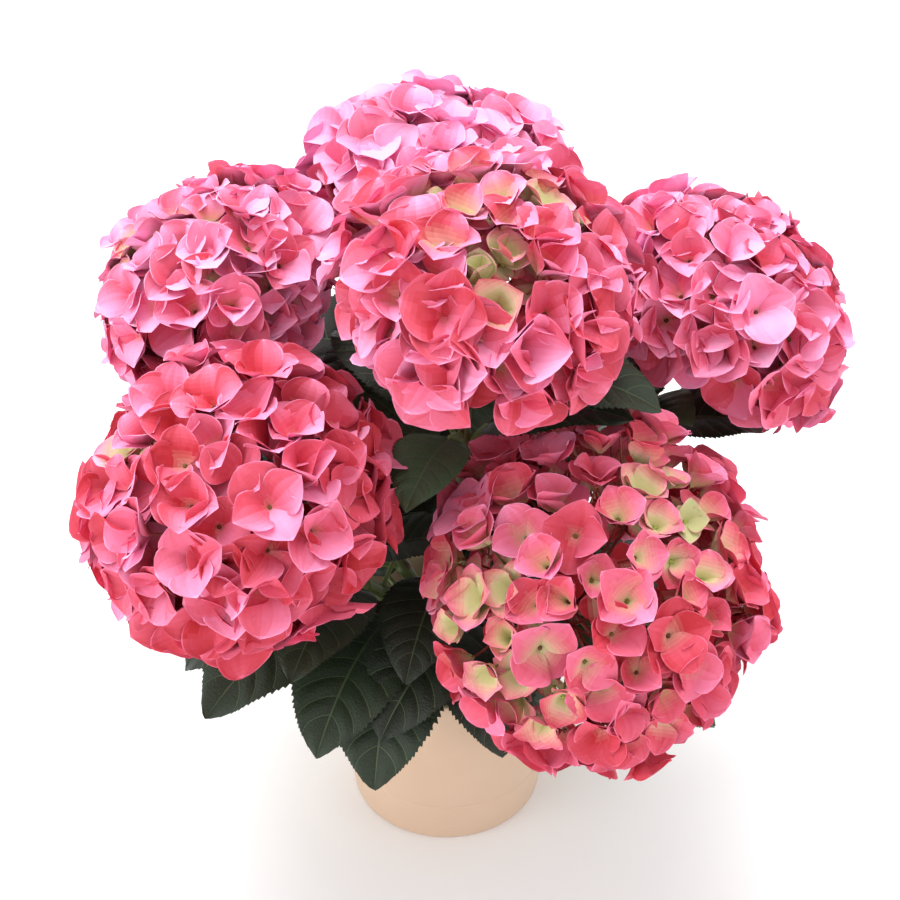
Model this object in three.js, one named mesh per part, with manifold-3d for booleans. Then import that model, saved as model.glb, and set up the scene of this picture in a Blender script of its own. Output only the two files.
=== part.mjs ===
// A mophead hydrangea in a plain pot: six leafy stems fork from a short woody stump, and each
// ends in one large domed bloom. Millimetres, +Z up. The origin is the centre of the pot's flat
// underside, and -Y is the front.
import * as THREE from "three";
import { mergeVertices } from "three/addons/utils/BufferGeometryUtils.js";
import Module from "manifold-3d";

const wasm = await Module();
wasm.setup();

// ---------------------------------------------------------------- driving dimensions

const GAP = 0.3; // clearance left between pieces that touch

const POT = {
  height: 125,
  rimRadius: 70, // outside, at the rim
  footRadius: 58, // outside, at the foot
  footRound: 3,
  wall: 4.5,
  floor: 6,
  lip: 1.6, // how far the rolled rim stands out
  lipHeight: 9,
  grooveHeight: 30,
  grooveDepth: 0.9,
  grooveWidth: 2.4,
  segments: 32,
};
const SOIL = {
  top: 112,
  mound: 4, // how much lower it lies at the wall
  shoulder: 0.72, // where it begins to fall, as a share of the pot's inside
  apron: 3, // level ground round the stump
  segments: 24,
};
const STUMP = {
  height: 32,
  lean: 3, // how far its top stands to the right of its foot
  lobes: 3, // old shoots that swell its foot
  swelling: 0.1,
  // How high up it each radius is, as a share of its height: the root flare, the waist, the head.
  radii: [[0, 19], [0.14, 15.1], [0.38, 12.5], [0.8, 10.3], [1, 7.5]],
  segments: 12,
};

const STEM = {
  footRadius: 4.3,
  tipRadius: 3,
  offAxis: 4.3, // where a stem's curve begins, inside the stump
  startHeight: 128,
  outwards: 31, // how its curve leaves
  upwards: 38,
  crownPull: 0.55, // and how straight it arrives in the bloom
  caneShare: 0.16, // where the bare cane ends and the leafy stem begins
  bloomShare: 0.86, // where the bloom's own stalk begins
  sides: 5,
  caneSteps: 4,
  leafySteps: 9,
  stalkSteps: 3,
  samples: 48,
};
const PETIOLE = {
  length: 30, // with a leaf of 130
  shortest: 0.6, // the share of that which the smallest leaf keeps
  rise: 12, // degrees that it stands steeper than its blade
  arch: 2,
  radius: 1.9,
  sunk: 1.3, // past the stem's axis
};
const LONGEST_LEAF = 130;
const BLADE = {
  width: 0.7, // widest, as a share of the length
  thickness: 0.014, // as a share of the length
  fold: 17, // degrees that each half rises from the midrib
  forward: 0.78, // under 1, the widest place moves towards the base
  fullness: 0.8, // under 1, the ends are blunter
  curl: 0.16, // how far the margins turn down again, as a share of the half width
  first: 0.05, // where its first and last cross-sections stand, from base to tip
  last: 0.995,
  steps: 5,
};
const FLORET = {
  count: 36, // to a bloom
  width: 42,
  widthSpread: 0.12,
  tiltSpread: 0.2,
  turnSpread: 0.16,
  seatSpread: 0.035,
  cup: 0.12, // rise of the sepals' tips, as a share of the width
  notch: 0.74, // radius between two sepals, as a share of the tips' radius
  seat: 0.9, // where a floret's centre sits, as a share of the bloom's reach
  past: 118, // degrees from the bloom's top to its lowest florets
  sunk: 0.66, // where its stalk ends inside the core
  ownSpace: 0.05, // how much nearer to its own bloom than to the next it stays
};
const CORE = { share: 0.79, top: 14, bottom: 158, segments: 10, rings: 6 };

// How leaves are held: the lowest level and drooping, the upper ones lifted, each a little apart.
const HABIT = {
  lift: -4, // degrees, at the foot of a stem
  liftGain: 48, // more at its head
  liftSpread: 7,
  droop: 66, // degrees that a blade bends down along its length
  droopLoss: 14, // less at the head
  droopSpread: 10,
  turnSpread: 8,
};

// Each stem: where its bloom's centre is, how far the bloom leans out, the bloom's reach across,
// above and below that centre, the direction in which its foot leaves the stump, and its pairs of
// opposite leaves: how far up the stem a pair stands, the direction of its first leaf, the length.
const STEMS = [
  {
    name: "front_left", bearing: 218, reach: 140, height: 291, lean: 36,
    radius: 93, rise: 76, drop: 64, foot: 212,
    pairs: [[0.08, 268, 104], [0.34, 220, 116], [0.5, 272, 96], [0.66, 190, 92]],
  },
  {
    name: "front_right", bearing: 309, reach: 130, height: 239, lean: 42,
    radius: 102, rise: 84, drop: 68, foot: 330,
    pairs: [[0.2, 346, 132], [0.32, 208, 100], [0.54, 20, 104], [0.68, 262, 84]],
  },
  {
    name: "centre", bearing: 291, reach: 48, height: 394, lean: 12,
    radius: 91, rise: 63, drop: 42, foot: 272,
    pairs: [[0.1, 300, 84], [0.3, 112, 84], [0.5, 120, 104], [0.64, 20, 104], [0.78, 172, 92]],
  },
  {
    name: "back", bearing: 93, reach: 128, height: 353, lean: 14,
    radius: 84, rise: 58, drop: 46, foot: 92,
    pairs: [[0.12, 60, 128], [0.3, 130, 130], [0.48, 45, 122], [0.7, 168, 118], [0.8, 80, 90]],
  },
  {
    name: "left", bearing: 163, reach: 126, height: 345, lean: 27,
    radius: 79, rise: 61, drop: 48, foot: 152,
    pairs: [[0.12, 195, 128], [0.32, 140, 128], [0.5, 205, 114], [0.68, 8, 94]],
  },
  {
    name: "right", bearing: 18, reach: 158, height: 321, lean: 31,
    radius: 84, rise: 65, drop: 42, foot: 32,
    pairs: [[0.12, 356, 120], [0.32, 62, 126], [0.5, 95, 108], [0.9, 276, 64], [0.8, 354, 72]],
  },
];

// How a leaf may be changed until it is clear of what stands there: turned aside and lifted, in
// degrees, and shortened to a share of its full length. What changes it least is tried first.
const TURNS = [0, 16, -16, 32, -32, 48, -48];
const LIFTS = [0, 12, -12, 24, -24];
const LENGTHS = [1, 0.88, 0.76, 0.64];
const COST = { turn: 1 / 16, lift: 1 / 12, length: 9 }; // of a degree, a degree, the whole length
const CLEAR = { blade: 9, ownBlade: 5, stem: 8, pot: 6, bloom: 1.03, ground: 12 };

// ---------------------------------------------------------------- small tools

const UP = new THREE.Vector3(0, 0, 1);
const radians = THREE.MathUtils.degToRad;
const vector = (x, y, z) => new THREE.Vector3(x, y, z);
const along = (bearing) => vector(Math.cos(bearing), Math.sin(bearing), 0);

// A repeatable number from 0 to 1 for three whole numbers.
function chance(a, b, c) {
  const wave = Math.sin(a * 127.1 + b * 311.7 + c * 74.7) * 43758.5453;
  return wave - Math.floor(wave);
}
const spread = (a, b, c, most) => (2 * chance(a, b, c) - 1) * most;

function solidOf(geometry) {
  geometry.deleteAttribute("normal");
  geometry.deleteAttribute("uv");
  const merged = mergeVertices(geometry, 1e-4);
  return new wasm.Manifold(
    new wasm.Mesh({
      numProp: 3,
      vertProperties: merged.attributes.position.array,
      triVerts: new Uint32Array(merged.index.array),
    }),
  );
}

function geometryOf(solid) {
  const { vertProperties, triVerts } = solid.getMesh();
  const geometry = new THREE.BufferGeometry();
  geometry.setAttribute("position", new THREE.BufferAttribute(vertProperties, 3));
  geometry.setIndex(new THREE.BufferAttribute(triVerts, 1));
  return geometry;
}

const joined = (solids) => solids.reduce((whole, next) => whole.add(next));

// A closed solid from rings of points, all rings alike in number, with flat ends.
function skin(rings) {
  const count = rings[0].length;
  const places = rings.flat().flatMap((p) => [p.x, p.y, p.z]);
  const faces = [];
  for (let r = 0; r + 1 < rings.length; r++)
    for (let i = 0; i < count; i++) {
      const a = r * count + i;
      const b = r * count + ((i + 1) % count);
      faces.push(a, b, a + count, b, b + count, a + count);
    }
  const last = (rings.length - 1) * count;
  for (let i = 1; i + 1 < count; i++) {
    faces.push(0, i + 1, i);
    faces.push(last, last + i, last + i + 1);
  }
  const geometry = new THREE.BufferGeometry();
  geometry.setAttribute("position", new THREE.Float32BufferAttribute(places, 3));
  geometry.setIndex(faces);
  return geometry;
}

// A tapering limb along a curve, from its parameter `from` to `to`.
function limb(curve, from, to, radiusAt, sides, steps) {
  const rings = [];
  let across = null;
  for (let i = 0; i <= steps; i++) {
    const t = from + ((to - from) * i) / steps;
    const heading = curve.getTangent(t);
    across = (across ?? vector(1, 0.3, 0)).clone();
    across.addScaledVector(heading, -across.dot(heading)).normalize();
    const beside = heading.clone().cross(across);
    const ring = [];
    for (let k = 0; k < sides; k++) {
      const turn = (2 * Math.PI * k) / sides;
      ring.push(
        curve
          .getPoint(t)
          .addScaledVector(across, radiusAt(t) * Math.cos(turn))
          .addScaledVector(beside, radiusAt(t) * Math.sin(turn)),
      );
    }
    rings.push(ring);
  }
  return skin(rings);
}

const turned = (profile, segments) =>
  new THREE.LatheGeometry(
    profile.map(([radius, height]) => new THREE.Vector2(radius, height)),
    segments,
  ).rotateX(Math.PI / 2);

// ---------------------------------------------------------------- pot, soil and stump

const potRadiusAt = (z) =>
  POT.footRadius + ((POT.rimRadius - POT.footRadius) * Math.min(z, POT.height)) / POT.height;

function pot() {
  const { height, wall, floor, lip, lipHeight, footRound } = POT;
  const grooveLow = POT.grooveHeight - POT.grooveWidth / 2;
  const grooveHigh = POT.grooveHeight + POT.grooveWidth / 2;
  const grooveRadius = potRadiusAt(POT.grooveHeight) - POT.grooveDepth;
  const lipFoot = height - lipHeight;
  return turned(
    [
      [0, 0],
      [POT.footRadius - footRound, 0],
      [POT.footRadius - footRound * 0.3, footRound * 0.3],
      [potRadiusAt(footRound), footRound],
      [potRadiusAt(grooveLow), grooveLow],
      [grooveRadius, POT.grooveHeight],
      [potRadiusAt(grooveHigh), grooveHigh],
      [potRadiusAt(lipFoot), lipFoot],
      [potRadiusAt(lipFoot) + lip, lipFoot + lip],
      [POT.rimRadius + lip, height - lip],
      [POT.rimRadius, height],
      [POT.rimRadius - wall * 0.7, height],
      [POT.rimRadius - wall, height - lip],
      [potRadiusAt(floor) - wall, floor],
      [0, floor],
    ],
    POT.segments,
  );
}

function soil() {
  const inside = (z) => potRadiusAt(z) - POT.wall - 2 * GAP;
  const low = POT.floor + GAP;
  return turned(
    [
      [0, low],
      [inside(low) - GAP, low],
      [inside(SOIL.top - SOIL.mound) - GAP, SOIL.top - SOIL.mound],
      [inside(SOIL.top) * SOIL.shoulder, SOIL.top - SOIL.mound * 0.3],
      [STUMP.radii[0][1] + SOIL.apron, SOIL.top],
      [0, SOIL.top],
    ],
    SOIL.segments,
  );
}

// The short woody foot, flat where it stands on the soil; `extra` makes it that much fatter.
function stump(extra = 0) {
  const bottom = SOIL.top + GAP;
  const rings = STUMP.radii.map(([share, radius]) => {
    const ring = [];
    for (let k = 0; k < STUMP.segments; k++) {
      const turn = (2 * Math.PI * k) / STUMP.segments;
      const lobe = 1 + STUMP.swelling * (1 - share) * Math.cos(STUMP.lobes * turn + 1);
      const z = bottom + STUMP.height * share + (share === 1 ? extra : 0);
      const out = along(turn).multiplyScalar(radius * lobe + extra);
      ring.push(out.add(vector(STUMP.lean * share, 0, z)));
    }
    return ring;
  });
  return skin(rings);
}

// ---------------------------------------------------------------- stems

function stemCurve(stem) {
  const bearing = radians(stem.bearing);
  const lean = radians(stem.lean);
  const foot = along(radians(stem.foot));
  const outwards = along(bearing);
  const centre = outwards.clone().multiplyScalar(stem.reach).setZ(stem.height);
  const axis = outwards.clone().multiplyScalar(Math.sin(lean)).setZ(Math.cos(lean));
  const tip = centre.clone().addScaledVector(axis, -stem.drop * 0.5);
  const start = foot.clone().multiplyScalar(STEM.offAxis).setZ(STEM.startHeight);
  const leave = start.clone().addScaledVector(foot, STEM.outwards).addScaledVector(UP, STEM.upwards);
  const arrive = tip.clone().addScaledVector(axis, -tip.distanceTo(leave) * STEM.crownPull);
  return { centre, axis, path: new THREE.CubicBezierCurve3(start, leave, arrive, tip) };
}

const speedAt = (path, t) =>
  path.getPoint(t + 0.001).distanceTo(path.getPoint(t - 0.001)) / 0.002;
const stemRadiusAt = (t) => STEM.footRadius + (STEM.tipRadius - STEM.footRadius) * t;

// ---------------------------------------------------------------- leaves

// The shape of a leaf: its petiole leaves the stem at `root`, and its blade begins at `base`.
function leafShape(root, bearing, lift, length, droop) {
  const out = along(bearing);
  const { shortest } = PETIOLE;
  const petiole = PETIOLE.length * (shortest + ((1 - shortest) * length) / LONGEST_LEAF);
  const rise = radians(lift + PETIOLE.rise);
  const base = root
    .clone()
    .addScaledVector(out, petiole * Math.cos(rise))
    .addScaledVector(UP, petiole * Math.sin(rise));
  const side = UP.clone().cross(out);
  return { root, base, out, side, lift: radians(lift), length, droop: radians(droop) };
}

function petiolePath(leaf) {
  const start = leaf.root.clone().addScaledVector(leaf.out, -PETIOLE.sunk);
  const bend = leaf.root.clone().lerp(leaf.base, 0.5).addScaledVector(UP, PETIOLE.arch);
  return new THREE.QuadraticBezierCurve3(start, bend, leaf.base);
}

// An ovate outline, widest below its middle: half the width at s from 0 to 1, for a length of 1.
const halfWidthAt = (s) =>
  0.5 * BLADE.width * Math.sin(Math.PI * s ** BLADE.forward) ** BLADE.fullness;

// A point of the blade: s runs from its base to its tip, u from -1 to 1 across it.
function bladePoint(leaf, s, u, depth = 0) {
  const { base, out, side, lift, length, droop } = leaf;
  const angle = lift - droop * s;
  const forward = (length * (Math.sin(lift) - Math.sin(angle))) / droop;
  const upward = (length * (Math.cos(angle) - Math.cos(lift))) / droop;
  const half = halfWidthAt(s) * length;
  const fold = radians(BLADE.fold);
  const raised = half * (Math.abs(u) * Math.sin(fold) - BLADE.curl * u * u) - depth;
  return base
    .clone()
    .addScaledVector(out, forward - raised * Math.sin(angle))
    .addScaledVector(UP, upward + raised * Math.cos(angle))
    .addScaledVector(side, u * half * Math.cos(fold));
}

const SAMPLES_ALONG = 12;
const SAMPLES_ACROSS = [-1, -0.67, -0.33, 0, 0.33, 0.67, 1];
const PETIOLE_SAMPLES = [0.35, 0.5, 0.65, 0.8];

function leafSamples(leaf) {
  const samples = [];
  for (let i = 0; i <= SAMPLES_ALONG; i++)
    for (const u of SAMPLES_ACROSS) samples.push(bladePoint(leaf, i / SAMPLES_ALONG, u));
  const petiole = PETIOLE_SAMPLES.map((t) => petiolePath(leaf).getPoint(t));
  return { blade: samples, petiole, middle: bladePoint(leaf, 0.4, 0), length: leaf.length };
}

// How far out a point lies in a bloom's space: 1 on the surface that its florets reach.
function bloomShare(stem, point) {
  const from = point.clone().sub(stem.centre);
  const up = from.dot(stem.axis);
  const across = Math.sqrt(Math.max(0, from.lengthSq() - up * up));
  return Math.hypot(across / stem.radius, up / (up > 0 ? stem.rise : stem.drop));
}

function isClear(leaf, stem, stems, leaves) {
  const points = [...leaf.blade, ...leaf.petiole];
  for (const p of points) {
    const out = Math.hypot(p.x, p.y);
    if (p.z < CLEAR.ground) return false;
    if (p.z < POT.height + CLEAR.pot && out < potRadiusAt(p.z) + POT.lip + CLEAR.pot) return false;
  }
  for (const other of stems) {
    if (points.some((p) => bloomShare(other, p) < CLEAR.bloom)) return false;
    const near = other === stem ? leaf.blade : points;
    if (near.some((p) => other.line.some((q) => q.distanceTo(p) < CLEAR.stem))) return false;
  }
  return leaves.every((other) => {
    if (leaf.middle.distanceTo(other.middle) > 0.6 * (leaf.length + other.length)) return true;
    const least = other.stem === stem ? CLEAR.ownBlade : CLEAR.blade;
    return points.every((p) => other.points.every((q) => q.distanceTo(p) >= least));
  });
}

// Every leaf of the plant, pair by pair, each turned aside or shortened until it is clear, and
// left out where nothing is.
function growLeaves(stems) {
  const leaves = [];
  const most = Math.max(...STEMS.map((stem) => stem.pairs.length));
  for (let j = 0; j < most; j++)
    stems.forEach((stem, n) => {
      if (j >= stem.pairs.length) return;
      const [share, direction, length] = stem.pairs[j];
      const t = STEM.caneShare + (STEM.bloomShare - STEM.caneShare) * share;
      for (const half of [0, 1]) {
        const bearing = direction + 180 * half + spread(n, j, half, HABIT.turnSpread);
        const gained = HABIT.liftGain * share;
        const lift = HABIT.lift + gained + spread(n, j, half + 2, HABIT.liftSpread);
        const lost = HABIT.droopLoss * share;
        const droop = HABIT.droop - lost + spread(n, j, half + 4, HABIT.droopSpread);
        const leaf = firstClear(stem, stems, leaves, t, bearing, lift, length, droop);
        if (leaf) leaves.push(leaf);
      }
    });
  return leaves;
}

const changes = LENGTHS.flatMap((share) =>
  TURNS.flatMap((turn) =>
    LIFTS.map((up) => ({
      share,
      turn,
      up,
      cost: Math.abs(turn) * COST.turn + Math.abs(up) * COST.lift + (1 - share) * COST.length,
    })),
  ),
).sort((a, b) => a.cost - b.cost);

function firstClear(stem, stems, leaves, t, bearing, lift, length, droop) {
  const root = stem.path.getPoint(t);
  for (const { share, turn, up } of changes) {
    const shape = leafShape(root, radians(bearing + turn), lift + up, length * share, droop);
    const samples = leafSamples(shape);
    if (!isClear(samples, stem, stems, leaves)) continue;
    return { ...shape, ...samples, stem, points: [...samples.blade, ...samples.petiole] };
  }
  return null;
}

// A leaf is one skin: a round petiole that starts inside the stem and flattens into the blade.
function leafSolid(leaf) {
  const thick = BLADE.thickness * leaf.length;
  const rings = [0, 0.5, 1].map((t) => petioleRing(leaf, t));
  for (let i = 0; i <= BLADE.steps; i++) {
    const s = BLADE.first + ((BLADE.last - BLADE.first) * i) / BLADE.steps;
    rings.push([
      bladePoint(leaf, s, -1, thick / 2),
      bladePoint(leaf, s, 0, thick),
      bladePoint(leaf, s, 1, thick / 2),
      bladePoint(leaf, s, 1),
      bladePoint(leaf, s, 0),
      bladePoint(leaf, s, -1),
    ]);
  }
  return skin(rings);
}

// Six points round the petiole, in the order of the blade's own six.
function petioleRing(leaf, t) {
  const path = petiolePath(leaf);
  const normal = path.getTangent(t).cross(leaf.side);
  return [210, 270, 330, 30, 90, 150].map((turn) =>
    path
      .getPoint(t)
      .addScaledVector(leaf.side, PETIOLE.radius * Math.cos(radians(turn)))
      .addScaledVector(normal, PETIOLE.radius * Math.sin(radians(turn))),
  );
}

function leafyStem(stem, leaves) {
  const { path } = stem;
  const first = STEM.caneShare + GAP / speedAt(path, STEM.caneShare);
  const bare = limb(path, first, STEM.bloomShare, stemRadiusAt, STEM.sides, STEM.leafySteps);
  const grown = leaves.filter((leaf) => leaf.stem === stem);
  return joined([solidOf(bare), ...grown.map((leaf) => solidOf(leafSolid(leaf)))]);
}

// ---------------------------------------------------------------- blooms

// Two directions square to a bloom's axis.
function acrossAxis(axis) {
  const first = UP.clone().cross(axis).normalize();
  return [first, axis.clone().cross(first)];
}

// Where each floret of a bloom stands, by the golden angle from the top down to its underside.
function floretPlaces(stem, number, count) {
  const [first, second] = acrossAxis(stem.axis);
  const lowest = Math.cos(radians(FLORET.past));
  const golden = Math.PI * (3 - Math.sqrt(5));
  const places = [];
  for (let i = 0; i < count; i++) {
    const upright = 1 - ((1 - lowest) * (i + 0.5)) / count;
    const round = Math.sqrt(1 - upright * upright);
    const turn = i * golden + spread(number, i, 1, FLORET.turnSpread);
    const reach = upright > 0 ? stem.rise : stem.drop;
    const beside = first
      .clone()
      .multiplyScalar(Math.cos(turn))
      .addScaledVector(second, Math.sin(turn));
    const spot = beside
      .clone()
      .multiplyScalar(stem.radius * round)
      .addScaledVector(stem.axis, reach * upright);
    const facing = beside
      .clone()
      .multiplyScalar(round / stem.radius)
      .addScaledVector(stem.axis, upright / reach)
      .normalize();
    facing.addScaledVector(first, spread(number, i, 2, FLORET.tiltSpread));
    facing.addScaledVector(second, spread(number, i, 3, FLORET.tiltSpread)).normalize();
    const share = FLORET.seat + spread(number, i, 4, FLORET.seatSpread);
    const width = FLORET.width * (1 + spread(number, i, 5, FLORET.widthSpread));
    places.push({ spot, facing, share, width, spin: chance(number, i, 6) * Math.PI });
  }
  return places;
}

// A floret as four pointed sepals in a shallow cup, on a stalk that runs down into the core.
function floretRing(stem, place) {
  const centre = stem.centre.clone().addScaledVector(place.spot, place.share);
  const [first, second] = acrossAxis(place.facing);
  const ring = [];
  for (let k = 0; k < 8; k++) {
    const turn = place.spin + (Math.PI * k) / 4;
    const tip = k % 2 === 0;
    const out = (place.width / 2) * (tip ? 1 : FLORET.notch);
    const rise = place.width * FLORET.cup * (tip ? 1 : 0.5);
    ring.push(
      centre
        .clone()
        .addScaledVector(first, out * Math.cos(turn))
        .addScaledVector(second, out * Math.sin(turn))
        .addScaledVector(place.facing, rise),
    );
  }
  return { centre, ring };
}

function floretSolid(stem, place, { centre, ring }) {
  const stalk = stem.centre.clone().addScaledVector(place.spot, FLORET.sunk);
  const points = [...ring, centre, stalk];
  const faces = [];
  for (let k = 0; k < ring.length; k++) {
    const next = (k + 1) % ring.length;
    faces.push(k, next, ring.length, next, k, ring.length + 1);
  }
  const geometry = new THREE.BufferGeometry();
  const places = points.flatMap((p) => [p.x, p.y, p.z]);
  geometry.setAttribute("position", new THREE.Float32BufferAttribute(places, 3));
  geometry.setIndex(faces);
  return geometry;
}

// A floret keeps to its own bloom's space where two blooms meet.
const keepsToItsSpace = (stem, stems, ring) =>
  ring.every((p) => {
    const own = bloomShare(stem, p) + FLORET.ownSpace;
    return stems.every((other) => other === stem || bloomShare(other, p) > own);
  });

function coreSolid(stem) {
  const [first, second] = acrossAxis(stem.axis);
  const rings = [];
  for (let r = 0; r < CORE.rings; r++) {
    const turn = radians(CORE.top + ((CORE.bottom - CORE.top) * r) / (CORE.rings - 1));
    const upright = Math.cos(turn);
    const reach = upright > 0 ? stem.rise : stem.drop;
    const width = CORE.share * stem.radius * Math.sin(turn);
    const ring = [];
    for (let k = 0; k < CORE.segments; k++) {
      const round = (2 * Math.PI * k) / CORE.segments;
      ring.push(
        stem.centre
          .clone()
          .addScaledVector(first, width * Math.cos(round))
          .addScaledVector(second, width * Math.sin(round))
          .addScaledVector(stem.axis, CORE.share * reach * upright),
      );
    }
    rings.unshift(ring);
  }
  return skin(rings);
}

function bloom(stem, stems, number) {
  const start = STEM.bloomShare + GAP / speedAt(stem.path, STEM.bloomShare);
  const stalk = limb(stem.path, start, 1, stemRadiusAt, STEM.sides, STEM.stalkSteps);
  const florets = floretPlaces(stem, number, FLORET.count)
    .map((place) => ({ place, cup: floretRing(stem, place) }))
    .filter(({ cup }) => keepsToItsSpace(stem, stems, cup.ring))
    .map(({ place, cup }) => solidOf(floretSolid(stem, place, cup)));
  return joined([solidOf(coreSolid(stem)), solidOf(stalk), ...florets]);
}

// ---------------------------------------------------------------- the plant

const LOOKS = {
  pot: { color: 0xe2bb95, roughness: 0.45, metalness: 0 },
  soil: { color: 0x2b211a, roughness: 0.95, metalness: 0 },
  wood: { color: 0x6a5540, roughness: 0.85, metalness: 0 },
  cane: { color: 0x5d4a38, roughness: 0.7, metalness: 0 },
  leaf: { color: 0x2c4229, roughness: 0.55, metalness: 0 },
  bloom: { color: 0xe8607e, roughness: 0.6, metalness: 0 },
};

const plant = new THREE.Group();

function place(name, geometry, look) {
  const mesh = new THREE.Mesh(geometry, new THREE.MeshStandardMaterial(LOOKS[look]));
  mesh.name = name;
  plant.add(mesh);
}

const stems = STEMS.map((row) => ({ ...row, ...stemCurve(row) }));
for (const stem of stems) {
  stem.line = [];
  for (let i = 0; i <= STEM.samples; i++) stem.line.push(stem.path.getPoint(i / STEM.samples));
}
const leaves = growLeaves(stems);
const stumpSpace = solidOf(stump(GAP));

place("pot", pot(), "pot");
place("potting_soil", soil(), "soil");
place("woody_stump", stump(), "wood");
stems.forEach((stem, number) => {
  const cane = limb(stem.path, 0, STEM.caneShare, stemRadiusAt, STEM.sides, STEM.caneSteps);
  place(`cane_${stem.name}`, geometryOf(solidOf(cane).subtract(stumpSpace)), "cane");
  place(`leaves_${stem.name}`, geometryOf(leafyStem(stem, leaves)), "leaf");
  place(`bloom_${stem.name}`, geometryOf(bloom(stem, stems, number)), "bloom");
});

export default plant;
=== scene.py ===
"""A potted mophead hydrangea in bloom, grown round its CAD frame by the frame's own rules.

Lengths are in millimetres until a mesh is built, and angles in degrees where a table gives them.
"""

import math

import bpy
import numpy as np
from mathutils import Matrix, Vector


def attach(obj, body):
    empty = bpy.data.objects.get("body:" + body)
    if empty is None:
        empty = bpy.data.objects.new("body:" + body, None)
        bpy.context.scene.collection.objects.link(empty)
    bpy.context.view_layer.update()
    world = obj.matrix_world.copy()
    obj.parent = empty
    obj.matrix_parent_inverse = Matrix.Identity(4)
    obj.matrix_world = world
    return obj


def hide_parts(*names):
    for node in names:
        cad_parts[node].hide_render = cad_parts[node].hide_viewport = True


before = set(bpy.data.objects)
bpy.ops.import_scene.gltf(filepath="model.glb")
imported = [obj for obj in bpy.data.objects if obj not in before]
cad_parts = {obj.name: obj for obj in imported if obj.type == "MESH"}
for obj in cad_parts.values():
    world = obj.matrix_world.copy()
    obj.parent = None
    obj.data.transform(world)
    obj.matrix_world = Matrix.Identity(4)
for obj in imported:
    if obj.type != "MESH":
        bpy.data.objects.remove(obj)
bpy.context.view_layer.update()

# ------------ the frame's own numbers

POT = dict(height=125, rim_radius=70, foot_radius=58, wall=4.5, floor=6, lip=1.6, lip_height=9)
GROOVE = dict(height=30, depth=0.9, width=2.4)
SOIL = dict(top=112, mound=4, shoulder=0.72, gap=0.9)
STUMP = dict(height=32, lean=3, lobes=3, swelling=0.1)
STUMP_RADII = [(0, 19), (0.14, 15.1), (0.38, 12.5), (0.8, 10.3), (1, 7.5)]

STEM = dict(foot_radius=4.3, tip_radius=3, off_axis=4.3, start_height=128, outwards=31, upwards=38)
CROWN_PULL = 0.55  # how far back along its bloom's axis a stem's end is drawn
CANE_SHARE = 0.16  # how far up a stem its bare, woody length goes
BLOOM_SHARE = 0.86  # where it enters its bloom
TIP_DEPTH = 0.5  # how deep it ends in the part of the bloom below the centre
OVERLAP = 0.004  # how far the lengths of a stem run into each other
PETIOLE = dict(length=30, shortest=0.6, rise=12, arch=2, radius=1.9, sunk=1.3)
LONGEST_LEAF = 130
BLADE = dict(width=0.7, fold=17, forward=0.78, fullness=0.8, curl=0.16)
HABIT = dict(
    lift=-4, lift_gain=48, lift_spread=7, droop=66, droop_loss=14, droop_spread=10, turn_spread=8
)

# Each stem: its bloom's bearing, distance and height, how far the bloom leans out, its reach
# across, above and below its centre, the direction of its foot, and its pairs of leaves as (how
# far up the stem, direction of the first leaf, length).
STEM_COLUMNS = ("name", "bearing", "reach", "height", "lean", "radius", "rise", "drop", "foot", "pairs")
STEMS = [
    ("front_left", 218, 140, 291, 36, 93, 76, 64, 212,
     [(0.08, 268, 104), (0.34, 220, 116), (0.5, 272, 96), (0.66, 190, 92)]),
    ("front_right", 309, 130, 239, 42, 102, 84, 68, 330,
     [(0.2, 346, 132), (0.32, 208, 100), (0.54, 20, 104), (0.68, 262, 84)]),
    ("centre", 291, 48, 394, 12, 91, 63, 42, 272,
     [(0.1, 300, 84), (0.3, 112, 84), (0.5, 120, 104), (0.64, 20, 104), (0.78, 172, 92)]),
    ("back", 93, 128, 353, 14, 84, 58, 46, 92,
     [(0.12, 60, 128), (0.3, 130, 130), (0.48, 45, 122), (0.7, 168, 118), (0.8, 80, 90)]),
    ("left", 163, 126, 345, 27, 79, 61, 48, 152,
     [(0.12, 195, 128), (0.32, 140, 128), (0.5, 205, 114), (0.68, 8, 94)]),
    ("right", 18, 158, 321, 31, 84, 65, 42, 32,
     [(0.12, 356, 120), (0.32, 62, 126), (0.5, 95, 108), (0.9, 276, 64), (0.8, 354, 72)]),
]

# How a leaf may be turned, lifted or shortened to be clear, and how far clear it has to be.
TURNS = [0, 16, -16, 32, -32, 48, -48]
LIFTS = [0, 12, -12, 24, -24]
LENGTHS = [1, 0.88, 0.76, 0.64]
CLEAR = dict(blade=9, own_blade=5, stem=8, pot=6, bloom=1.03, ground=12)

# ------------ what the looks add to them

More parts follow.
